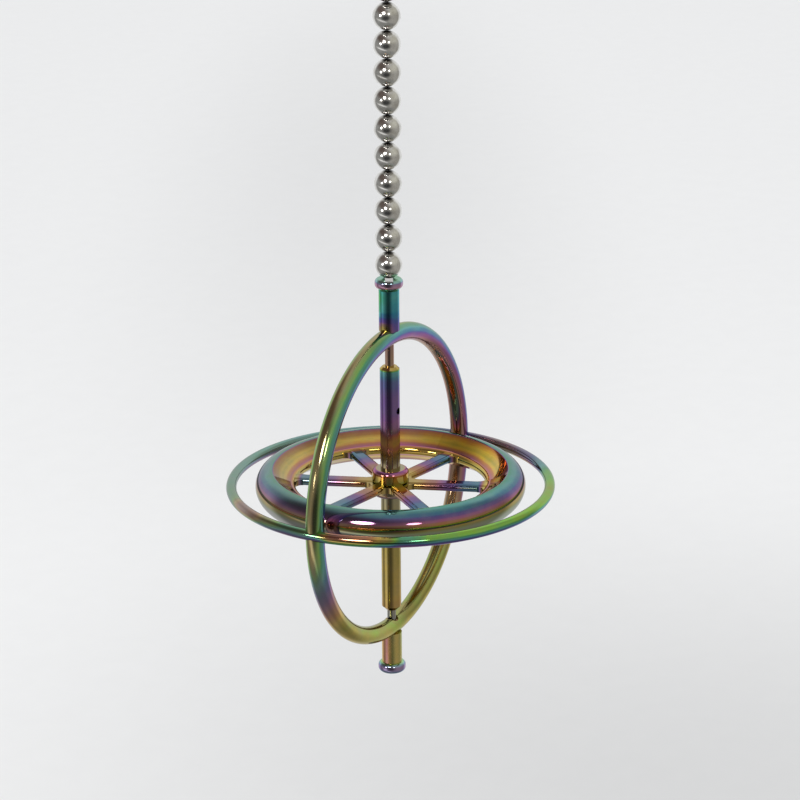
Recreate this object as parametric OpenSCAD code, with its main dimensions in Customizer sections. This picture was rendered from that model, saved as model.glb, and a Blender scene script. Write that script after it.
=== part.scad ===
// Toy gyroscope hanging under a chain of magnet balls, in millimetres.
// +Z is up and the origin is the mouth of the bore in the hanger, from which everything hangs.
// The upright ring lies in the XZ plane. Everything that turns, turns about the Z axis.

/* [Hanger] */
// Diameter of the steel hanger that the top ball clings to
hanger_d = 8; // [7:0.1:10]
// Height of the hanger
hanger_h = 6; // [5.5:0.1:9]
// Diameter of the blind bore that takes a stand's rod or a hook's shank
hanger_bore_d = 3; // [2:0.1:4]
// Depth of the blind bore
hanger_bore_depth = 4; // [3:0.1:4.5]
// Depth of the round seat for the top ball
hanger_seat_depth = 0.8; // [0.5:0.05:1]
// Width of the rounding round the hanger's top edge
hanger_edge = 0.6; // [0.3:0.05:1]

/* [Balls] */
// Diameter of each magnet ball
ball_d = 5; // [4.5:0.05:5.5]
// Clearance between two balls, and between a ball and its seat
ball_gap = 0.05; // [0.03:0.01:0.1]

/* [End beads] */
// Diameter of the beads at both ends of the frame
bead_d = 5.2; // [4.6:0.1:5.8]
// Thickness of each bead
bead_t = 1.95; // [1.7:0.05:2.4]
// Radius of the rounded edge of each bead
bead_edge_r = 0.8; // [0.5:0.05:0.84]
// Width of the string slot across the upper bead, where the last ball sits
slot_w = 1.5; // [1.1:0.1:1.9]
// Depth of the string slot
slot_depth = 0.45; // [0.3:0.05:1]
// Direction of the string slot, in degrees from the plane of the upright ring
slot_angle = 30; // [0:5:90]
// How far the lower bead's face bulges below its edge
foot_bulge = 0.25; // [0.1:0.05:0.4]

/* [Stems] */
// Diameter of the stems outside the upright ring
stem_d = 3.8; // [3.2:0.1:4.2]
// Length of the upper stem, from the upright ring to the bead
stem_upper_len = 7.5; // [5:0.1:10]
// Length of the lower stem, from the upright ring to the bead
stem_lower_len = 5.55; // [4:0.05:8]
// Diameter of the spigot that holds each stem in the ring
spigot_d = 2.5; // [2.2:0.1:2.7]
// How far the stem's saddle reaches down over the ring
saddle_depth = 0.5; // [0.3:0.05:0.7]
// Width of the chamfer under the upper bead
stem_chamfer = 0.3; // [0.1:0.05:0.5]

/* [Rings] */
// Radius of the upright ring's centreline
upright_r = 28.7; // [27:0.1:31]
// Diameter of the upright ring's bar
upright_bar_d = 3.4; // [3.2:0.05:3.8]
// Diameter of the level ring's bar
level_bar_d = 1.95; // [1.7:0.05:2.2]
// Depth of the level ring's centreline inside the upright ring's outside
level_sink = 0.8; // [0.5:0.05:0.9]

/* [Axle] */
// Diameter of the axle's thick part
axle_d = 3.66; // [3.3:0.02:4]
// Diameter of the pins at the axle's ends
pin_d = 1.66; // [1.4:0.02:1.8]
// Length of bare pin between the upper shoulder and its bearing
pin_upper_len = 4.5; // [2:0.05:6]
// Length of bare pin between the lower shoulder and its bearing
pin_lower_len = 2.2; // [1:0.05:4]
// Width of the chamfer at the upper shoulder
chamfer_upper = 0.45; // [0.2:0.05:0.7]
// Width of the chamfer at the lower shoulder
chamfer_lower = 0.8; // [0.3:0.05:0.9]
// Diameter of the hole for the pull string
string_hole_d = 1.3; // [1:0.1:1.5]
// Distance of the string hole below the upper shoulder
string_hole_drop = 8.5; // [5:0.5:14]

/* [Bearings] */
// Running clearance round each pin
pin_clear = 0.05; // [0.03:0.01:0.09]
// How far each bearing sits back in its hole, behind the inside of the upright ring
bearing_recess = 0.5; // [0.3:0.05:0.6]
// Depth of the straight part of each bearing's hole
bearing_bore_depth = 1.1; // [0.8:0.05:1.3]
// Half of the angle of the pins' points, in degrees
point_half_angle = 45; // [40:1:55]

/* [Flywheel] */
// Gap between the rim and the inside of the upright ring
rim_gap = 1.85; // [1:0.05:2.5]
// Thickness of the rim at its two crests
rim_t = 6.4; // [5:0.1:7.4]
// Radius of the rounded lip inside the rim
lip_r = 17.7; // [15:0.1:18.5]
// Thickness of the rounded lip
lip_t = 1.8; // [1.5:0.1:2.4]
// Thickness of the spokes and of the hub between the collars
web_t = 1.5; // [1:0.05:1.7]
// Number of spokes
spoke_n = 6; // [4:1:8]
// Direction of the first spoke at rest, in degrees from the plane of the upright ring
spoke_angle = -10; // [-30:1:30]
// Width of each spoke
spoke_w = 2.9; // [1.9:0.1:3.4]
// Radius of the fillets where the spokes meet the hub and the lip
spoke_fillet = 1.2; // [0.8:0.1:1.6]
// Thickness of those fillets
fillet_t = 1.1; // [0.6:0.05:1.2]
// Radius of the rounded edge along both crests
crest_edge_r = 0.5; // [0.3:0.05:0.8]

/* [Collars] */
// Diameter of the two collars that clamp the flywheel
collar_d = 6.8; // [6.2:0.1:7.6]
// Height of the upper collar
collar_upper_h = 2.35; // [1.5:0.05:3]
// Height of the lower collar
collar_lower_h = 1.35; // [1:0.05:2]
// Radius of the rounded shoulder of the collars, less where a collar is too low for it
collar_edge_r = 0.8; // [0.4:0.05:1]
// How far the flywheel's hub stays inside the edge of the collars
hub_inset = 0.5; // [0.3:0.05:0.8]

/* [Hidden] */
$fn = 96;
ball_n = 11;
// assembly clearance between pieces that are pressed or screwed together
fit_gap = 0.01;
// extra length of cutting tools, so that no two faces coincide
over = 1;

ball_r = ball_d / 2;
stem_r = stem_d / 2;
spigot_r = spigot_d / 2;
bead_r = bead_d / 2;
axle_r = axle_d / 2;
pin_r = pin_d / 2;
collar_r = collar_d / 2;

// heights of the balls' centres, from the seat in the hanger downwards
ball_pitch = ball_d + ball_gap;
ball_top_z = -hanger_h - ball_r - ball_gap + hanger_seat_depth;
function ball_z(i) = ball_top_z - (i - 1) * ball_pitch;

// the last ball rests on the two edges of the string slot
slot_seat = sqrt(pow(ball_r + ball_gap, 2) - pow(slot_w / 2, 2));
bead_top_z = ball_z(ball_n) - slot_seat;

// rings, measured from the middle of the flywheel
upright_bar_r = upright_bar_d / 2;
ring_inside = upright_r - upright_bar_r;
ring_outside = upright_r + upright_bar_r;
level_bar_r = level_bar_d / 2;
level_r = ring_outside - level_sink;
wheel_z = bead_top_z - bead_t - stem_upper_len - ring_outside;

// the pins' points stop just short of the bottoms of the bearings' cups
bearing_in = ring_inside + bearing_recess;
pin_straight = bearing_in + bearing_bore_depth - pin_clear;
point_h = pin_r / tan(point_half_angle);
cup_r = pin_r + pin_clear;
cup_h = cup_r / tan(point_half_angle);
bearing_back = bearing_in + bearing_bore_depth + cup_h + 0.2;

// the axle's shoulders and its string hole, measured from the middle of the flywheel
shoulder_upper = bearing_in - pin_upper_len;
shoulder_lower = bearing_in - pin_lower_len;
string_hole_z = shoulder_upper - string_hole_drop;

// flywheel section
rim_r = ring_inside - rim_gap;
crest_z = rim_t / 2;
crest_r = rim_r - crest_z;
lip_z = lip_t / 2;
lip_centre_r = lip_r + lip_z;
web_z = web_t / 2;

// ---------------------------------------------------------------- shared shapes

module at_wheel() {
    translate([0, 0, wheel_z]) children();
}

// upside-down copy about the flywheel's middle, for the lower half
module below(is_lower) {
    if (is_lower) mirror([0, 0, 1]) children();
    else children();
}

module ring(centre_r, bar_r) {
    rotate_extrude() translate([centre_r, 0]) circle(r = bar_r);
}

module upright_bar(grow) {
    rotate([90, 0, 0]) ring(upright_r, upright_bar_r + grow);
}

// turned cylinder with a 45-degree chamfer at its top
module chamfered(r, h, chamfer) {
    cylinder(r = r, h = h - chamfer);
    translate([0, 0, h - chamfer]) cylinder(r1 = r, r2 = r - chamfer, h = chamfer);
}

// flat bead with a rounded edge, standing on z = 0
module bead_body() {
    rotate_extrude() {
        square([bead_r - bead_edge_r, bead_t]);
        translate([0, bead_edge_r]) square([bead_r, bead_t - 2 * bead_edge_r]);
        translate([bead_r - bead_edge_r, bead_edge_r]) circle(r = bead_edge_r);
        translate([bead_r - bead_edge_r, bead_t - bead_edge_r]) circle(r = bead_edge_r);
    }
}

// stem with a saddle on the upright ring and a spigot in the ring's hole
module stem_body(len, chamfer) {
    foot_z = ring_outside - saddle_depth;
    difference() {
        translate([0, 0, foot_z])
            chamfered(stem_r, len + saddle_depth, chamfer);
        upright_bar(fit_gap);
    }
    translate([0, 0, bearing_back + fit_gap])
        cylinder(r = spigot_r, h = ring_outside + saddle_depth - bearing_back);
}

// cup bearing pressed into the upright ring from inside
module bearing_body() {
    difference() {
        translate([0, 0, bearing_in])
            cylinder(r = spigot_r, h = bearing_back - bearing_in);
        translate([0, 0, bearing_in - over])
            cylinder(r = cup_r, h = over + bearing_bore_depth);
        translate([0, 0, bearing_in + bearing_bore_depth])
            cylinder(r1 = cup_r, r2 = 0, h = cup_h);
    }
}

// half of the axle: thick part, shoulder, pin and point
module axle_half(shoulder, chamfer) {
    chamfered(axle_r, shoulder, chamfer);
    cylinder(r = pin_r, h = pin_straight);
    translate([0, 0, pin_straight]) cylinder(r1 = pin_r, r2 = 0, h = point_h);
}

// clamping collar with a rounded shoulder, standing on the flywheel's hub
module collar_body(h) {
    edge_r = min(collar_edge_r, h / 2);
    difference() {
        translate([0, 0, web_z]) rotate_extrude() {
            square([collar_r, h - edge_r]);
            square([collar_r - edge_r, h]);
            translate([collar_r - edge_r, h - edge_r]) circle(r = edge_r);
        }
        cylinder(r = axle_r + fit_gap, h = web_z + h + over);
    }
}

// ---------------------------------------------------------------- hanger and balls

module hanger() {
    color("silver") difference() {
        translate([0, 0, -hanger_h]) rotate_extrude() {
            square([hanger_d / 2, hanger_h - hanger_edge]);
            square([hanger_d / 2 - hanger_edge, hanger_h]);
            translate([hanger_d / 2 - hanger_edge, hanger_h - hanger_edge])
                circle(r = hanger_edge);
        }
        translate([0, 0, -hanger_bore_depth])
            cylinder(d = hanger_bore_d, h = hanger_bore_depth + over);
        translate([0, 0, ball_top_z]) sphere(r = ball_r + ball_gap);
    }
}

module ball(i) {
    color("lightgray") translate([0, 0, ball_z(i)]) sphere(d = ball_d);
}

// ---------------------------------------------------------------- frame

module upper_bead() {
    color("darkslategray") translate([0, 0, bead_top_z - bead_t]) difference() {
        bead_body();
        translate([0, 0, bead_t - slot_depth]) rotate([0, 0, slot_angle])
            translate([-bead_r - over, -slot_w / 2, 0])
                cube([bead_d + 2 * over, slot_w, slot_depth + over]);
    }
}

module upper_stem() {
    color("teal") at_wheel() stem_body(stem_upper_len, stem_chamfer);
}

module upright_ring() {
    color("mediumseagreen") at_wheel() difference() {
        upright_bar(0);
        translate([0, 0, -ring_outside - over])
            cylinder(r = spigot_r + fit_gap, h = 2 * (ring_outside + over));
        ring(level_r, level_bar_r + fit_gap);
    }
}

module level_ring() {
    color("yellowgreen") at_wheel() ring(level_r, level_bar_r);
}

module lower_stem() {
    color("olive") at_wheel() below(true) stem_body(stem_lower_len, 0);
}

// the bulge is a slice of a ball as wide as the flat part of the bead
module lower_bead() {
    flat_r = bead_r - bead_edge_r;
    bulge_r = (pow(flat_r, 2) + pow(foot_bulge, 2)) / (2 * foot_bulge);
    color("slateblue") at_wheel() below(true)
        translate([0, 0, ring_outside + stem_lower_len]) {
            bead_body();
            intersection() {
                translate([0, 0, bead_t + foot_bulge - bulge_r]) sphere(r = bulge_r);
                translate([0, 0, bead_edge_r]) cylinder(r = flat_r, h = bead_t + foot_bulge);
            }
        }
}

module upper_bearing() {
    color("dimgray") at_wheel() bearing_body();
}

module lower_bearing() {
    color("dimgray") at_wheel() below(true) bearing_body();
}

// ---------------------------------------------------------------- rotor

module axle() {
    color("rebeccapurple") at_wheel() difference() {
        union() {
            axle_half(shoulder_upper, chamfer_upper);
            below(true) axle_half(shoulder_lower, chamfer_lower);
        }
        translate([0, 0, string_hole_z]) rotate([90, 0, 0])
            cylinder(d = string_hole_d, h = axle_d + 2 * over, center = true);
    }
}

module upper_collar() {
    color("saddlebrown") at_wheel() collar_body(collar_upper_h);
}

module lower_collar() {
    color("slategray") at_wheel() below(true) collar_body(collar_lower_h);
}

// half-round outside, rounded crests, sloping faces and a rounded lip inside; the circle of a
// crest's edge touches the sloping face at slope_end and the half-round along crest_dir
module rim_section() {
    slope = atan2(crest_z - lip_z, crest_r - lip_centre_r);
    cut = crest_z * sin(slope)
        - sqrt(pow(crest_z * sin(slope), 2) - 2 * crest_z * crest_edge_r * (1 - cos(slope)));
    slope_end = [crest_r - cut * cos(slope), crest_z - cut * sin(slope)];
    edge = slope_end + crest_edge_r * [sin(slope), -cos(slope)];
    crest_dir = [edge.x - crest_r, edge.y] * rim_t / (crest_z - crest_edge_r);
    intersection() {
        translate([crest_r, 0]) circle(r = crest_z);
        polygon([
            [crest_r, 0], [crest_r + crest_dir.x, crest_dir.y], [rim_r + over, rim_t],
            [rim_r + over, -rim_t], [crest_r + crest_dir.x, -crest_dir.y]
        ]);
    }
    for (side = [-1, 1])
        translate([edge.x, side * edge.y]) circle(r = crest_edge_r);
    polygon([
        [lip_centre_r, lip_z], slope_end, edge, [crest_r + crest_edge_r, 0],
        [edge.x, -edge.y], [slope_end.x, -slope_end.y], [lip_centre_r, -lip_z]
    ]);
    translate([lip_centre_r, 0]) circle(r = lip_z);
}

// flat spoke with rounded edges, along +X
module spoke() {
    rotate([90, 0, 90]) linear_extrude(height = lip_centre_r) {
        translate([-spoke_w / 2 + web_z, -web_z]) square([spoke_w - web_t, web_t]);
        for (side = [-1, 1])
            translate([side * (spoke_w / 2 - web_z), 0]) circle(r = web_z);
    }
}

// flat piece that widens with two fillets from a spoke, along +X, into the lip
module lip_fillets() {
    half_w = spoke_w / 2 + spoke_fillet;
    centre_x = sqrt(pow(lip_r - spoke_fillet, 2) - pow(half_w, 2));
    translate([0, 0, -fillet_t / 2]) linear_extrude(height = fillet_t) difference() {
        translate([centre_x, -half_w]) square([lip_centre_r - centre_x, 2 * half_w]);
        for (side = [-1, 1])
            translate([centre_x, side * half_w]) circle(r = spoke_fillet);
    }
}

// flat piece that rounds the corner between two spokes at the hub, along +X
module hub_fillet() {
    half_angle = 180 / spoke_n;
    centre_x = (spoke_w / 2 + spoke_fillet) / sin(half_angle);
    touch = [centre_x - spoke_fillet * sin(half_angle), spoke_fillet * cos(half_angle)];
    translate([0, 0, -fillet_t / 2]) linear_extrude(height = fillet_t) difference() {
        polygon([[0, 0], [touch.x, -touch.y], touch]);
        translate([centre_x, 0]) circle(r = spoke_fillet);
    }
}

module flywheel() {
    color("goldenrod") at_wheel() difference() {
        union() {
            rotate_extrude() rim_section();
            for (i = [0 : spoke_n - 1]) {
                rotate([0, 0, spoke_angle + i * 360 / spoke_n]) {
                    spoke();
                    lip_fillets();
                }
                rotate([0, 0, spoke_angle + (i + 0.5) * 360 / spoke_n]) hub_fillet();
            }
            translate([0, 0, -web_z]) cylinder(r = collar_r - hub_inset, h = web_t);
        }
        translate([0, 0, -web_z - over])
            cylinder(r = axle_r + fit_gap, h = web_t + 2 * over);
    }
}

// ---------------------------------------------------------------- nodes

hanger();
ball(1);  // ball_01
ball(2);  // ball_02
ball(3);  // ball_03
ball(4);  // ball_04
ball(5);  // ball_05
ball(6);  // ball_06
ball(7);  // ball_07
ball(8);  // ball_08
ball(9);  // ball_09
ball(10);  // ball_10
ball(11);  // ball_11
upper_bead();
upper_stem();
upright_ring();
level_ring();
lower_stem();
lower_bead();
upper_bearing();
lower_bearing();
axle();
upper_collar();
flywheel();
lower_collar();
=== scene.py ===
"""Looks, light and camera for a toy gyroscope that hangs under a chain of magnet balls.

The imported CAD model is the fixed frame. Its nodes keep their shape and get their finish here:
a rainbow oxide plating, whose colour follows a film thickness worked out over each piece,
chrome on the balls, turned steel on the hanger and brass in the bearings.
"""

import math

import bpy
from mathutils import Matrix, Vector


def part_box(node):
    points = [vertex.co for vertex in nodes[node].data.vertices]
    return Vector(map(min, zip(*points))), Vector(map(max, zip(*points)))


MM = 0.001
IMAGE_SIDE = 800  # pixels
SENSOR = 36.0  # mm

# ---------------------------------------------------------------- frame

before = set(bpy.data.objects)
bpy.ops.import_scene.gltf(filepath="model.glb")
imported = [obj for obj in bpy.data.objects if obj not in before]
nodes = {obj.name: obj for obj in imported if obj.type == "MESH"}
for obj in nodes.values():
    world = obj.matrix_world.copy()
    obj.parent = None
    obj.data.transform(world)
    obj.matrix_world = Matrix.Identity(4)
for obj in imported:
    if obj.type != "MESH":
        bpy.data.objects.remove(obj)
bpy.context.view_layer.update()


def middle(node):
    low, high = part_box(node)
    return (low + high) / 2


def size(node):
    low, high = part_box(node)
    return high - low


WHEEL = middle("level_ring")  # the flywheel's middle
RING_TURN = math.radians(62.0)  # the upright ring's plane, from the camera's right, going away
RIGHT = Vector((math.cos(RING_TURN), -math.sin(RING_TURN), 0))  # to the camera's right
AWAY = Vector((math.sin(RING_TURN), math.cos(RING_TURN), 0))  # level, away from the camera
UP = Vector((0, 0, 1))

UPRIGHT_R = (size("upright_ring").x - size("upright_ring").y) / 2  # to its middle line
UPRIGHT_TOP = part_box("upright_ring")[1].z - WHEEL.z  # height over the flywheel's middle
CREST_R = 21.95 * MM  # highest circle of the flywheel's rim
NOT_QUITE_0 = 0.0001 * MM
WEB_R = 17.7 * MM  # where the rim's slope ends at the web
SLOT_TURN = math.radians(30.0)  # direction of the string slot in the upper bead
SLOT_HALF, SLOT_DEPTH = 0.75 * MM, 0.45 * MM

# ---------------------------------------------------------------- camera

CAMERA_BACK = 476.0 * MM
CAMERA_ABOVE = 178.5 * MM
CAMERA_PITCH = math.radians(18.81)  # downwards
CAMERA_YAW = math.radians(0.225)  # towards the right
CAMERA_ROLL = math.radians(-0.42)
FOCAL_PIXELS = 2729.0


def make_camera():
    data = bpy.data.cameras.new("camera")
    data.sensor_width = SENSOR
    data.lens = FOCAL_PIXELS / IMAGE_SIDE * SENSOR
    data.clip_start = 0.01
    data.clip_end = 50
    camera = bpy.data.objects.new("camera", data)
    bpy.context.scene.collection.objects.link(camera)
    level = AWAY * math.cos(CAMERA_YAW) + RIGHT * math.sin(CAMERA_YAW)
    look = level * math.cos(CAMERA_PITCH) - UP * math.sin(CAMERA_PITCH)
    side = look.cross(UP).normalized()
    top = side.cross(look)
    side, top = (
        side * math.cos(CAMERA_ROLL) + top * math.sin(CAMERA_ROLL),
        top * math.cos(CAMERA_ROLL) - side * math.sin(CAMERA_ROLL),
    )
    place = WHEEL - AWAY * CAMERA_BACK + UP * CAMERA_ABOVE
    turn = Matrix((side, top, -look)).transposed().to_4x4()
    camera.matrix_world = Matrix.Translation(place) @ turn
    bpy.context.scene.camera = camera


# ---------------------------------------------------------------- shader building


def srgb(red, green, blue):
    """Linear colour of an 8-bit screen colour."""

    def linear(value):
        value /= 255
        return value / 12.92 if value <= 0.04045 else ((value + 0.055) / 1.055) ** 2.4

    return (linear(red), linear(green), linear(blue), 1.0)


def by_mm(*points):
    """(place in millimetres, number) points, with the places turned into metres."""
    return tuple((place * MM, number) for place, number in points)


class Shader:
    """A node tree with short calls. Values are sockets or plain numbers."""

    def __init__(self, tree):
        self.tree = tree

    def node(self, kind, **settings):
        made = self.tree.nodes.new(kind)
        for name, value in settings.items():
            setattr(made, name, value)
        return made

    def put(self, value, socket):
        if isinstance(value, bpy.types.NodeSocket):
            self.tree.links.new(value, socket)
        else:
            socket.default_value = value

    def place(self):
        """Position on the object, in metres."""
        return self.node("ShaderNodeTexCoord").outputs["Object"]

    def math(self, operation, *values, clamp=False):
        made = self.node("ShaderNodeMath", operation=operation, use_clamp=clamp)
        for value, socket in zip(values, made.inputs):
            self.put(value, socket)
        return made.outputs[0]

    def add(self, a, b):
        return self.math("ADD", a, b)

    def sub(self, a, b):
        return self.math("SUBTRACT", a, b)

    def mul(self, a, b):
        return self.math("MULTIPLY", a, b)

    def length(self, a, b):
        """Length of the diagonal over two sides at right angles."""
        return self.math("SQRT", self.add(self.mul(a, a), self.mul(b, b)))

    def between(self, a, b, share):
        """Number that goes from a to b as the share goes from 0 to 1."""
        return self.add(self.mul(a, self.sub(1.0, share)), self.mul(b, share))

    def vector(self, operation, *values, output=0):
        made = self.node("ShaderNodeVectorMath", operation=operation)
        for value, socket in zip(values, made.inputs):
            self.put(value, socket)
        return made.outputs[output]

    def dot(self, a, b):
        return self.vector("DOT_PRODUCT", a, tuple(b), output="Value")

    def scale(self, vector, factor):
        made = self.node("ShaderNodeVectorMath", operation="SCALE")
        self.put(vector, made.inputs[0])
        self.put(factor, made.inputs["Scale"])
        return made.outputs[0]

    def even(self, value):
        """A plain number as all three parts of a vector; a socket or three numbers stay."""
        return (value, value, value) if isinstance(value, float) else value

    def split(self, vector):
        made = self.node("ShaderNodeSeparateXYZ")
        self.put(vector, made.inputs[0])
        return made.outputs

    def remap(self, value, start, end, low=0.0, high=1.0, smooth=False):
        """Number that goes from low to high as the value goes from start to end."""
        made = self.node("ShaderNodeMapRange")
        made.interpolation_type = "SMOOTHSTEP" if smooth else "LINEAR"
        self.put(value, made.inputs["Value"])
        for name, number in zip(
            ("From Min", "From Max", "To Min", "To Max"), (start, end, low, high)
        ):
            self.put(number, made.inputs[name])
        return made.outputs[0]

    def step(self, value, start, end, low=0.0, high=1.0):
        """The same, with a soft start and end."""
        return self.remap(value, start, end, low, high, smooth=True)

    def ramp(self, value, stops, interpolation="LINEAR"):
        """Colour ramp through (place, colour) stops."""
        made = self.node("ShaderNodeValToRGB")
        ramp = made.color_ramp
        ramp.interpolation = interpolation
        while len(ramp.elements) > 1:
            ramp.elements.remove(ramp.elements[0])
        for index, (place, colour) in enumerate(stops):
            element = ramp.elements[0] if index == 0 else ramp.elements.new(place)
            element.position = place
            element.color = colour
        self.put(value, made.inputs[0])
        return made.outputs[0]

    def curve(self, value, points):
        """Number that follows a value, eased from one (value, number) point to the next."""
        low, high = points[0][0], points[-1][0]
        numbers = [number for _, number in points]
        base, span = min(numbers), max(numbers) - min(numbers)
        stops = []
        for place, number in points:
            grey = (number - base) / span
            stops.append(((place - low) / (high - low), (grey, grey, grey, 1.0)))
        made = self.ramp(self.remap(value, low, high), stops, "EASE")
        return self.add(self.mul(made, span), base)

    def mix(self, factor, a, b):
        """Colour that goes from a to b as the factor goes from 0 to 1."""
        made = self.node("ShaderNodeMix", data_type="RGBA")
        self.put(factor, made.inputs["Factor"])
        # the node's other sockets of these names are for numbers and vectors
        self.put(a, made.inputs[6])
        self.put(b, made.inputs[7])
        return made.outputs[2]

    def noise(self, vector, scale, detail=2.0, roughness=0.5):
        """Noise around 0.5; the scale says how many of its features lie along a metre."""
        made = self.node("ShaderNodeTexNoise")
        self.put(vector, made.inputs["Vector"])
        made.inputs["Scale"].default_value = scale
        made.inputs["Detail"].default_value = detail
        made.inputs["Roughness"].default_value = roughness
        return made.outputs[0]


def new_material(name):
    material = bpy.data.materials.new(name)
    material.use_nodes = True
    shader = Shader(material.node_tree)
    surface = next(n for n in material.node_tree.nodes if n.type == "BSDF_PRINCIPLED")
    return material, shader, surface


def bump(shader, height, strength, distance, surface):
    made = shader.node("ShaderNodeBump")
    made.inputs["Strength"].default_value = strength
    made.inputs["Distance"].default_value = distance
    shader.put(height, made.inputs["Height"])
    shader.tree.links.new(made.outputs[0], surface.inputs["Normal"])


# ---------------------------------------------------------------- rainbow plating

# Interference colours of the oxide film in the order in which they follow each other as the
# film gets thicker; one order is a film of 1.0, after which they come round again.
FILM = (
    (0.00, srgb(110, 186, 182)),  # teal
    (0.09, srgb(74, 140, 172)),  # blue
    (0.19, srgb(98, 96, 172)),  # violet
    (0.30, srgb(138, 88, 166)),  # purple
    (0.40, srgb(186, 104, 152)),  # magenta
    (0.49, srgb(192, 126, 106)),  # copper
    (0.57, srgb(214, 150, 86)),  # orange
    (0.66, srgb(228, 191, 92)),  # gold
    (0.75, srgb(176, 168, 82)),  # olive
    (0.83, srgb(148, 206, 78)),  # lime
    (0.91, srgb(86, 178, 122)),  # green
    (1.00, srgb(110, 186, 182)),  # teal again
)
FILM_DRIFT = 0.15  # how far the film's thickness wanders over some millimetres
FILM_SPECKLE = 0.03  # and from spot to spot
MOST_WEAR = 0.16  # share of haze that handling leaves at most
EDGE_TINT = (0.72, 0.72, 0.72, 1.0)  # of the metal seen edge on
SCRATCH_DEPTH = 0.02 * MM

PALE_GREY = srgb(158, 158, 154)
# pale haze of the beads, also the colour of the painted highlight on the slot floor
WHITE_HAZE_AND_SLOT_HIGHLIGHT = srgb(226, 224, 222)
NO_TINT = (1.0, 1.0, 1.0, 1.0)
GOLD_TINT = (1.0, 1.0, 0.5, 1.0)


def body_axes(shader):
    """Position from the flywheel's middle in metres: right, away and up; and on the object."""
    place = shader.place()
    rel = shader.vector("SUBTRACT", place, tuple(WHEEL))
    return shader.dot(rel, RIGHT), shader.dot(rel, AWAY), shader.dot(rel, UP), place


def plating(name, film_of, rough=0.09, haze=PALE_GREY):
    """Plated material. film_of(shader, right, away, up, place) gives the film's thickness, the
    depth of its colour (in places with painted light and shade) and how far a pale haze veils it:
    mostly wear, in places painted light."""
    material, s, surface = new_material(name)
    right, away, up, place = body_axes(s)
    film, depth, veil = film_of(s, right, away, up, place)
    drift = s.sub(s.noise(place, 190, 4.0, 0.6), 0.5)
    speckle = s.sub(s.noise(place, 1900, 2.0, 0.6), 0.5)
    film = s.add(film, s.add(s.mul(drift, FILM_DRIFT), s.mul(speckle, FILM_SPECKLE)))
    colour = s.vector("MULTIPLY", s.ramp(s.math("FRACT", film), FILM), s.even(depth))
    wear = s.remap(s.noise(place, 420, 4.0, 0.65), 0.38, 0.75, 0.0, MOST_WEAR)
    colour = s.mix(s.math("ADD", wear, veil, clamp=True), colour, haze)
    s.put(colour, surface.inputs["Base Color"])
    surface.inputs["Metallic"].default_value = 1.0
    surface.inputs["Specular Tint"].default_value = EDGE_TINT
    smears = s.noise(place, 260, 5.0, 0.7)
    s.put(s.remap(smears, 0.3, 0.75, rough * 0.75, rough * 1.8), surface.inputs["Roughness"])
    scratches = s.noise(s.vector("MULTIPLY", place, (1.0, 1.0, 6.0)), 2600, 3.0, 0.7)
    bump(s, scratches, 0.03, SCRATCH_DEPTH, surface)
    return material


def ring_film(shader, right, away, up, place):
    """Level ring: worn grey-green at the left, copper near the middle, lime at the near right."""
    s = shader
    # direction in turns: 0 at the right, 0.25 at the back, -0.25 in front
    turns = s.mul(s.math("ARCTAN2", away, right), 1 / (2 * math.pi))
    top = s.curve(
        turns,
        (
            (-0.50, 0.93), (-0.455, 0.88), (-0.43, 0.48), (-0.405, 0.50), (-0.385, 0.76),
            (-0.355, 0.92), (-0.325, 0.88), (-0.305, 0.50), (-0.275, 0.50), (-0.255, 0.72),
            (-0.240, 0.92), (-0.20, 0.84), (-0.12, 0.82), (-0.03, 0.80), (0.015, 0.86),
            (0.045, 1.04), (0.075, 1.20), (0.12, 1.44), (0.16, 1.26), (0.21, 1.06),
            (0.30, 1.00), (0.38, 0.98), (0.46, 0.96), (0.5, 0.93),
        ),
    )
    under = s.step(up, 0.55 * MM, -0.75 * MM, 0.0, 0.42)
    worn = s.curve(
        turns,
        (
            (-0.5, 0.58), (-0.43, 0.64), (-0.40, 0.52), (-0.34, 0.34), (-0.30, 0.12),
            (-0.24, 0.08), (-0.12, 0.06), (0.0, 0.20), (0.06, 0.44), (0.12, 0.74),
            (0.18, 0.42), (0.3, 0.34), (0.4, 0.46), (0.5, 0.58),
        ),
    )
    return s.add(top, under), 0.92, worn


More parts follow.
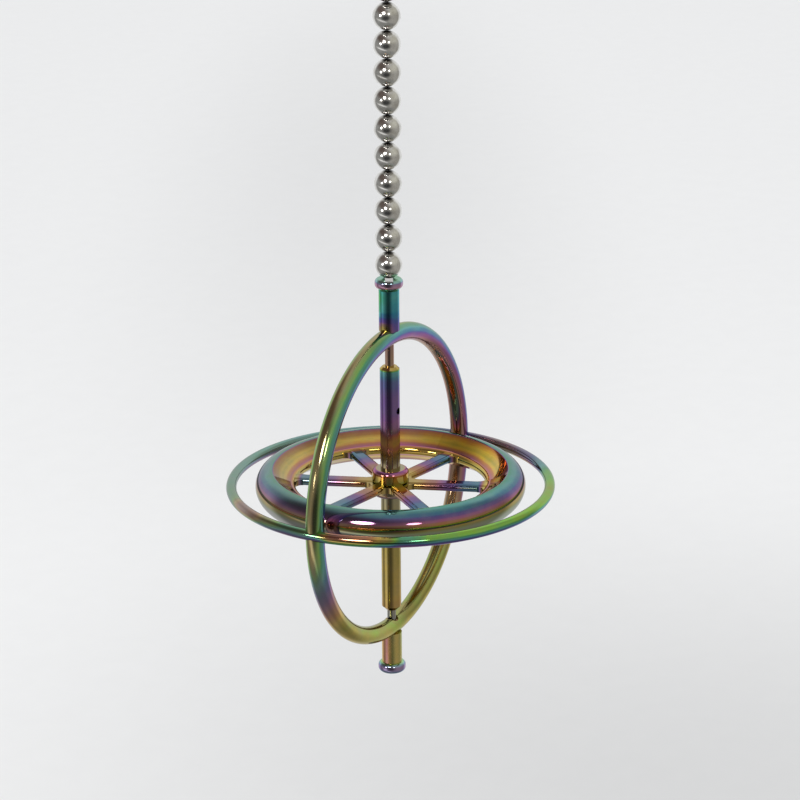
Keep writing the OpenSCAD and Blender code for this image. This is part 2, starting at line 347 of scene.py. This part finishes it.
def wheel_film(shader, right, away, up, place):
    """Flywheel: teal crests, purple to gold round the outside, gold inside, mixed spokes."""
    s = shader
    radius = s.length(right, away)
    # round the rim's outside: 1 at its upper crest, 0 at its widest, -1 at its lower crest
    outward = s.math("MAXIMUM", s.sub(radius, CREST_R), NOT_QUITE_0)
    tilt = s.mul(s.math("ARCTAN2", up, outward), 2 / math.pi)
    outside = s.curve(
        tilt,
        (
            (-1.0, 0.95), (-0.75, 0.92), (-0.45, 0.87), (-0.12, 0.79), (0.08, 0.69), (0.19, 0.54),
            (0.31, 0.38), (0.43, 0.24), (0.58, 0.09), (0.78, 0.0), (1.0, -0.06),
        ),
    )
    inside = s.curve(
        radius,
        by_mm(
            (16.8, 0.72), (17.9, 0.66), (18.25, 0.52), (18.6, 0.40), (19.0, 0.46), (19.5, 0.60),
            (20.0, 0.655), (20.5, 0.62), (21.0, 0.56), (21.6, 0.48), (21.95, 0.32),
        ),
    )
    # the spokes run from gold at the hub through rose and violet to blue at the rim
    spokes = s.curve(
        radius,
        by_mm((2.0, 0.72), (5.0, 0.64), (8.0, 0.50), (11.0, 0.30), (14.0, 0.12), (17.7, 0.06)),
    )
    is_rim = s.step(radius, WEB_R - 1.3 * MM, WEB_R)
    is_slope = s.mul(
        s.step(radius, WEB_R - 0.2 * MM, WEB_R + 0.1 * MM),
        s.remap(radius, CREST_R, CREST_R - 0.35 * MM),
    )
    is_outside = s.remap(radius, CREST_R - 0.1 * MM, CREST_R + 0.05 * MM)
    film = s.between(s.between(spokes, inside, is_rim), outside, is_outside)
    # the slope is brightest along its middle, and duller towards the left; under the crest a
    # painted shade darkens it
    left = s.step(right, 4 * MM, -20 * MM)
    far_right = s.step(right, 4 * MM, 14 * MM)
    film = s.add(film, s.mul(s.mul(s.add(left, far_right), is_slope), 0.05))
    under_crest = s.step(radius, 20.1 * MM, 20.9 * MM, 0.0, 0.34)
    crest_shade = s.mul(under_crest, s.sub(1.0, far_right))
    bright = s.sub(s.sub(0.36, crest_shade), s.mul(left, 0.19))
    # its gold is deepest at the back right, where painted light also brightens it
    back_right_gold_and_light = s.mul(s.step(right, 5 * MM, 11 * MM), s.step(away, 5 * MM, 11 * MM))
    gold = s.mul(s.mul(back_right_gold_and_light, is_slope), s.step(radius, 18.6 * MM, 19.6 * MM))
    depth = s.add(s.add(0.72, s.mul(is_slope, bright)), s.mul(gold, 0.22))
    depth = s.scale(s.mix(gold, NO_TINT, GOLD_TINT), depth)
    veil = s.add(s.add(0.10, s.mul(left, 0.24)), s.step(right, 8 * MM, 24 * MM, 0.0, 0.05))
    veil = s.mul(veil, s.sub(1.0, s.mul(is_slope, s.sub(0.95, s.mul(left, 0.45)))))
    # the rim's lower half is veiled pale grey, most of its colour taken out
    pale_veil = s.mul(is_outside, s.step(tilt, 0.02, -0.16, 0.0, 0.60))
    return film, depth, s.add(veil, pale_veil)


def upright_film(shader, right, away, up, place):
    """Upright ring: green, blue and magenta round the top, olive and yellow at the bottom."""
    s = shader
    x, y, z = s.split(s.vector("SUBTRACT", place, tuple(WHEEL)))
    # round the ring's section: 0 at its outermost line, 1 at its innermost
    outward = s.sub(s.length(x, z), UPRIGHT_R)
    inwards = s.mul(s.math("ARCTAN2", s.math("ABSOLUTE", y), outward), 1 / math.pi)
    top = s.curve(
        inwards, ((0.0, 0.76), (0.20, 0.90), (0.42, 1.06), (0.58, 1.30), (0.75, 1.42), (1.0, 1.50))
    )
    bottom = s.curve(inwards, ((0.0, 1.70), (0.4, 1.74), (0.7, 1.77), (1.0, 1.75)))
    worn = s.curve(
        inwards, ((0.0, 0.44), (0.18, 0.38), (0.36, 0.12), (0.55, 0.10), (0.85, 0.38), (1.0, 0.38))
    )
    foot = s.step(up, -4 * MM, -22 * MM)
    slide = s.step(right, -6 * MM, 8 * MM, -0.08, 0.06)
    film = s.between(s.add(top, slide), bottom, foot)
    # least haze at the foot, most where the two meet
    meeting = s.mul(foot, s.sub(1.0, foot))
    veil = s.add(s.mul(worn, s.sub(1.0, s.mul(foot, 0.6))), s.mul(meeting, 1.2))
    return film, 1.0, veil


def axle_film(shader, right, away, up, place):
    """Axle: blue under the upper shoulder, violet and purple, olive brown below the wheel."""
    s = shader
    film = s.curve(
        up,
        by_mm(
            (-27, 0.66), (-24, 0.64), (-20, 0.69), (-6, 0.71), (0.0, 0.74), (4.5, 0.68),
            (6.2, 0.60), (8.9, 0.43), (10.6, 0.36), (12, 0.335), (16.5, 0.26), (20, 0.18),
            (22.1, 0.03), (22.65, -0.30), (23.1, -0.34), (23.4, -0.47), (28, -0.51),
        ),
    )
    depth = s.curve(up, by_mm((2, 0.84), (6.2, 0.70), (8.9, 0.62), (11, 0.85), (13, 0.98)))
    # the pins are rubbed grey, the lower one most
    worn = s.curve(
        up,
        by_mm(
            (-27, 0.90), (-25.4, 0.86), (-25.1, 0.14), (-8, 0.12), (-3, 0.5), (3, 0.45),
            (6.2, 0.58), (8.9, 0.50), (11, 0.24), (13, 0.16), (22.9, 0.12), (23.2, 0.42),
            (28, 0.42),
        ),
    )
    return film, depth, worn


def upper_stem_film(shader, right, away, up, place):
    """Upper stem: green at its left and teal at its right, blue and gold by the ring."""
    s = shader
    over_ring = s.sub(up, UPRIGHT_TOP)
    across = s.curve(right, by_mm((-1.9, -0.15), (-1.2, -0.05), (0.5, 0.03), (1.9, 0.04)))
    along = s.curve(
        over_ring,
        by_mm(
            (-0.6, 0.72), (0.4, 0.64), (0.9, 0.56), (1.6, 0.36), (2.6, 0.17), (3.6, 0.06),
            (6.2, 0.0), (7.8, 0.07),
        ),
    )
    stronger_left = s.step(right, -1.2 * MM, 1.4 * MM, 1.0, 0.40)
    return s.add(across, s.mul(along, stronger_left)), (0.68, 1.10, 1.10), 0.03


def lower_stem_film(shader, right, away, up, place):
    """Lower stem: pale rose and gold at its left, olive at its right, brightened by painted light.
    """
    film = shader.curve(
        right,
        by_mm(
            (-1.9, 0.68), (-1.4, 0.54), (-1.0, 0.48), (-0.5, 0.60), (0.1, 0.74), (0.9, 0.69),
            (1.9, 0.74),
        ),
    )
    # its colour is raised to 1.3 and veiled pale, painted light from the pale floor below
    return film, 1.3, 0.25


def bead_film(low, high, stops, veil):
    """Bands of film from the bottom of a bead to its top; stops are (share of height, film).
    The floor of the string slot is veiled near white, a painted highlight."""
    points = [(low + share * (high - low), number) for share, number in stops]

    def film(shader, right, away, up, place):
        s = shader
        height = s.split(place)[2]
        from_slot = s.math(
            "ABSOLUTE", s.dot(place, (-math.sin(SLOT_TURN), math.cos(SLOT_TURN), 0))
        )
        from_floor = s.math("ABSOLUTE", s.sub(height, high - SLOT_DEPTH))
        # only the floor, not the walls nor the bead's top
        # painted highlight: the slot's floor is veiled near white
        pale_veil = s.mul(
            s.math("LESS_THAN", from_slot, 0.98 * SLOT_HALF),
            s.math("LESS_THAN", from_floor, 0.01 * MM),
        )
        return s.curve(height, points), 1.1, s.math("MAXIMUM", pale_veil, veil)

    return film


def collar_film(wall_top, veil):
    """Collar: pale gold on its flat, purple round the shoulder, gold to olive down the wall."""

    def film(shader, right, away, up, place):
        s = shader
        down = s.sub(wall_top, s.math("ABSOLUTE", up))
        wall = s.curve(
            down, by_mm((0.0, 0.34), (0.35, 0.42), (0.75, 0.60), (1.2, 0.68), (2.4, 0.76))
        )
        is_flat = s.step(s.length(right, away), 2.9 * MM, 2.5 * MM)
        film = s.between(wall, 0.70, is_flat)
        return film, 1.0, s.math("MAXIMUM", s.mul(is_flat, 0.62), veil)

    return film


# ---------------------------------------------------------------- other metals

# the darkest nickel is a painted shade, for the necks where the balls touch
NICKEL, DULL_NICKEL, NECK_SHADE_NICKEL = srgb(230, 229, 227), srgb(186, 182, 176), srgb(122, 120, 117)
STEEL, BRIGHT_STEEL = srgb(178, 178, 176), srgb(206, 204, 200)
BRASS, DARK_BRASS = srgb(188, 158, 92), srgb(138, 108, 66)
LATHE_PITCH = 0.16 * MM


def chrome():
    """Nickel chrome of the balls: bright, with faint scuffs and handling marks, and darkened
    round the points where they touch by a painted shade."""
    material, s, surface = new_material("chrome")
    place = s.place()
    x, y, z = s.split(place)
    # painted shade: darker and rougher round the points where the balls touch
    neck_painted_shade = s.step(s.length(x, y), 1.4 * MM, 0.6 * MM)
    dirt = s.remap(s.noise(place, 700, 5.0, 0.65), 0.42, 0.72)
    colour = s.mix(neck_painted_shade, s.mix(dirt, NICKEL, DULL_NICKEL), NECK_SHADE_NICKEL)
    s.put(colour, surface.inputs["Base Color"])
    surface.inputs["Metallic"].default_value = 1.0
    smears = s.remap(s.noise(place, 500, 4.0, 0.7), 0.3, 0.8, 0.07, 0.2)
    s.put(s.add(smears, s.mul(neck_painted_shade, 0.2)), surface.inputs["Roughness"])
    scuffs = s.noise(s.vector("MULTIPLY", place, (1.0, 1.0, 3.0)), 3000, 4.0, 0.7)
    bump(s, scuffs, 0.06, 0.03 * MM, surface)
    return material


def turned_steel():
    """Brushed steel of the hanger, with lathe rings."""
    material, s, surface = new_material("turned_steel")
    place = s.place()
    x, y, z = s.split(place)
    phase = s.mul(s.add(s.length(x, y), z), 2 * math.pi / LATHE_PITCH)
    grooves = s.math("SINE", s.add(phase, s.mul(s.noise(place, 900, 2.0), 3.0)))
    tone = s.remap(s.noise(place, 300, 4.0, 0.6), 0.3, 0.7)
    s.put(s.mix(tone, STEEL, BRIGHT_STEEL), surface.inputs["Base Color"])
    surface.inputs["Metallic"].default_value = 1.0
    s.put(s.remap(s.noise(place, 800, 3.0), 0.3, 0.7, 0.22, 0.34), surface.inputs["Roughness"])
    bump(s, grooves, 0.25, 0.01 * MM, surface)
    return material


def brass():
    """Dull brass of the bearing cups."""
    material, s, surface = new_material("bearing_brass")
    place = s.place()
    tone = s.remap(s.noise(place, 900, 4.0, 0.6), 0.35, 0.7)
    s.put(s.mix(tone, BRASS, DARK_BRASS), surface.inputs["Base Color"])
    surface.inputs["Metallic"].default_value = 1.0
    s.put(s.remap(s.noise(place, 1500, 3.0), 0.3, 0.7, 0.2, 0.36), surface.inputs["Roughness"])
    bump(s, s.noise(place, 4000, 2.0), 0.08, 0.02 * MM, surface)
    return material


# ---------------------------------------------------------------- each node's finish

# plated nodes: name, film, roughness
PLATED = (
    ("level_ring", ring_film, 0.08),
    ("flywheel", wheel_film, 0.055),
    ("upright_ring", upright_film, 0.10),
    ("axle", axle_film, 0.09),
    ("upper_stem", upper_stem_film, 0.08),
    ("lower_stem", lower_stem_film, 0.18),
)
# beads: name, (share of height, film) from bottom to top
BEADS = (
    (
        "upper_bead",
        ((0.0, 0.72), (0.1, 0.80), (0.22, 1.42), (0.6, 1.34), (0.78, 1.04), (1.0, 0.93)),
    ),
    (
        "lower_bead",
        ((0.0, 0.08), (0.3, 0.12), (0.5, 0.26), (0.7, 0.30), (0.84, 0.12), (1.0, -0.16)),
    ),
)
BEAD_VEIL = 0.26
COLLARS = (("upper_collar", 0.05), ("lower_collar", 0.55))  # name, least haze


def assign(material, *names):
    for name in names:
        mesh = nodes[name].data
        mesh.materials.clear()
        mesh.materials.append(material)


def finish_metals():
    assign(turned_steel(), "hanger")
    assign(chrome(), *(n for n in nodes if n.startswith("ball_")))
    assign(brass(), "upper_bearing", "lower_bearing")
    for node, film_of, rough in PLATED:
        assign(plating(node + "_plating", film_of, rough), node)
    for node, stops in BEADS:
        low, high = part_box(node)
        film_of = bead_film(low.z, high.z, stops, BEAD_VEIL)
        assign(plating(node + "_plating", film_of, haze=WHITE_HAZE_AND_SLOT_HIGHLIGHT), node)
    for node, veil in COLLARS:
        low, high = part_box(node)
        wall_top = max(abs(low.z - WHEEL.z), abs(high.z - WHEEL.z))
        assign(plating(node + "_plating", collar_film(wall_top, veil)), node)


# ---------------------------------------------------------------- room and light

FLOOR_BELOW = 0.40  # the floor's depth under the flywheel, metres
FLOOR_HALF = 9.0  # half its side, metres
PAPER = srgb(239, 240, 240)
# faint soft shades on the floor, as on the photographed backdrop: their middle from the wheel
# to the right and away, half sizes in these directions (metres), darkness
# these are painted shadows: they only darken the floor's colour
PAINTED_FLOOR_SHADES = ((0.14, 0.62, 0.5, 0.5, 0.25), (-0.02, 1.75, 0.26, 1.3, 0.11))

# lamps on the camera's side, as the highlights on the rim and the balls place them: direction
# from the camera's side (right positive), height and width in degrees, strength
LAMPS = (
    ("lamp_left", -53, 15, 12, 12.0),
    ("lamp_middle", -26, 36, 17, 14.0),
    ("lamp_right", 20, 30, 11, 7.0),
)
LAMP_DISTANCE = 0.9  # from the wheel, metres
LAMP_COLOUR = (1.0, 0.97, 0.93)

# the pale room as reflections see it: darker on the camera's side and overhead
ROOM_LIGHT = (0.98, 0.98, 0.99, 1)
ROOM_LEFT, ROOM_RIGHT = (0.30, 0.30, 0.29, 1), (0.36, 0.35, 0.32, 1)
ROOM_BACK, CEILING = (0.86, 0.87, 0.87, 1), (0.56, 0.55, 0.53, 1)
# soft ovals in it: direction from the camera's side, height, half width and half height in
# degrees, softness of the edge, colour, rise towards the right
PATCHES = (
    (72, 34, 44, 24, 0.7, (0.56, 0.55, 0.48, 1), 0.0),
    (-74, 48, 52, 26, 0.6, (0.13, 0.10, 0.088, 1), 0.0),
    (-12, -62, 70, 16, 0.6, (0.24, 0.24, 0.23, 1), 0.0),
    (-46, -30, 34, 6, 0.6, (0.92, 0.92, 0.90, 1), -0.36),
    (-8, -7, 34, 21, 0.6, (0.05, 0.05, 0.05, 1), 0.0),
)


def toward(side_degrees, up_degrees):
    """Unit vector from the wheel to a direction seen from the camera's side."""
    side, up = math.radians(side_degrees), math.radians(up_degrees)
    level = RIGHT * math.sin(side) - AWAY * math.cos(side)
    return level * math.cos(up) + UP * math.sin(up)


def make_lamps():
    for name, side, up, width, radiance in LAMPS:
        data = bpy.data.lights.new(name, "AREA")
        data.shape = "DISK"
        data.size = 2 * LAMP_DISTANCE * math.tan(math.radians(width / 2))
        area = math.pi * (data.size / 2) ** 2
        data.energy = radiance * math.pi * area
        data.color = LAMP_COLOUR
        lamp = bpy.data.objects.new(name, data)
        bpy.context.scene.collection.objects.link(lamp)
        direction = toward(side, up)
        lamp.location = WHEEL + direction * LAMP_DISTANCE
        lamp.rotation_euler = direction.to_track_quat("Z", "Y").to_euler()
        lamp.visible_camera = False


def make_floor():
    mesh = bpy.data.meshes.new("floor")
    half, height = FLOOR_HALF, WHEEL.z - FLOOR_BELOW
    corners = [(x * half, y * half, height) for x, y in ((-1, -1), (1, -1), (1, 1), (-1, 1))]
    mesh.from_pydata(corners, [], [(0, 1, 2, 3)])
    floor = bpy.data.objects.new("floor", mesh)
    bpy.context.scene.collection.objects.link(floor)
    material, s, surface = new_material("floor_paper")
    right, away, up, place = body_axes(s)
    tone = s.remap(s.noise(place, 60, 4.0, 0.6), 0.3, 0.7, 0.985, 1.0)
    # painted shadows darken the floor's colour inside each oval
    for right_at, away_at, half_right, half_away, darkness in PAINTED_FLOOR_SHADES:
        across = s.mul(s.sub(right, right_at), 1 / half_right)
        along = s.mul(s.sub(away, away_at), 1 / half_away)
        tone = s.mul(tone, s.step(s.length(across, along), 0.0, 1.0, 1 - darkness, 1.0))
    s.put(s.scale(PAPER[:3], tone), surface.inputs["Base Color"])
    surface.inputs["Roughness"].default_value = 0.9
    mesh.materials.append(material)
    floor.visible_glossy = False


def make_world():
    """Pale room. Its even light falls on the scene, and its darker sides show in reflections."""
    world = bpy.data.worlds.new("room")
    bpy.context.scene.world = world
    world.use_nodes = True
    tree = world.node_tree
    background = next(n for n in tree.nodes if n.type == "BACKGROUND")
    s = Shader(tree)
    ray = s.node("ShaderNodeTexCoord").outputs["Generated"]
    right, away, up = s.dot(ray, RIGHT), s.dot(ray, AWAY), s.dot(ray, UP)
    side = s.math("ARCTAN2", right, s.mul(away, -1.0))
    height = s.math("ARCSINE", up)

    room = s.mix(s.step(right, -0.4, 0.7), ROOM_LEFT, ROOM_RIGHT)
    room = s.mix(s.step(away, 0.28, 0.62), room, ROOM_BACK)
    room = s.mix(s.step(up, 0.62, 0.96), room, CEILING)
    for side_at, height_at, half_side, half_height, soft, colour, rise in PATCHES:
        across = s.mul(s.sub(side, math.radians(side_at)), math.cos(math.radians(height_at)))
        along = s.sub(height, s.add(math.radians(height_at), s.mul(across, rise)))
        from_middle = s.length(
            s.mul(across, 1 / math.radians(half_side)), s.mul(along, 1 / math.radians(half_height))
        )
        inside = s.step(from_middle, 1 + soft, max(1 - soft, 0.0))
        room = s.mix(inside, room, colour)
    is_reflection = s.node("ShaderNodeLightPath").outputs["Is Glossy Ray"]
    s.put(s.mix(is_reflection, ROOM_LIGHT, room), background.inputs["Color"])
    background.inputs["Strength"].default_value = 1.0


# ---------------------------------------------------------------- scene

make_camera()
finish_metals()
make_floor()
make_lamps()
make_world()
bpy.context.scene.view_settings.view_transform = "Standard"
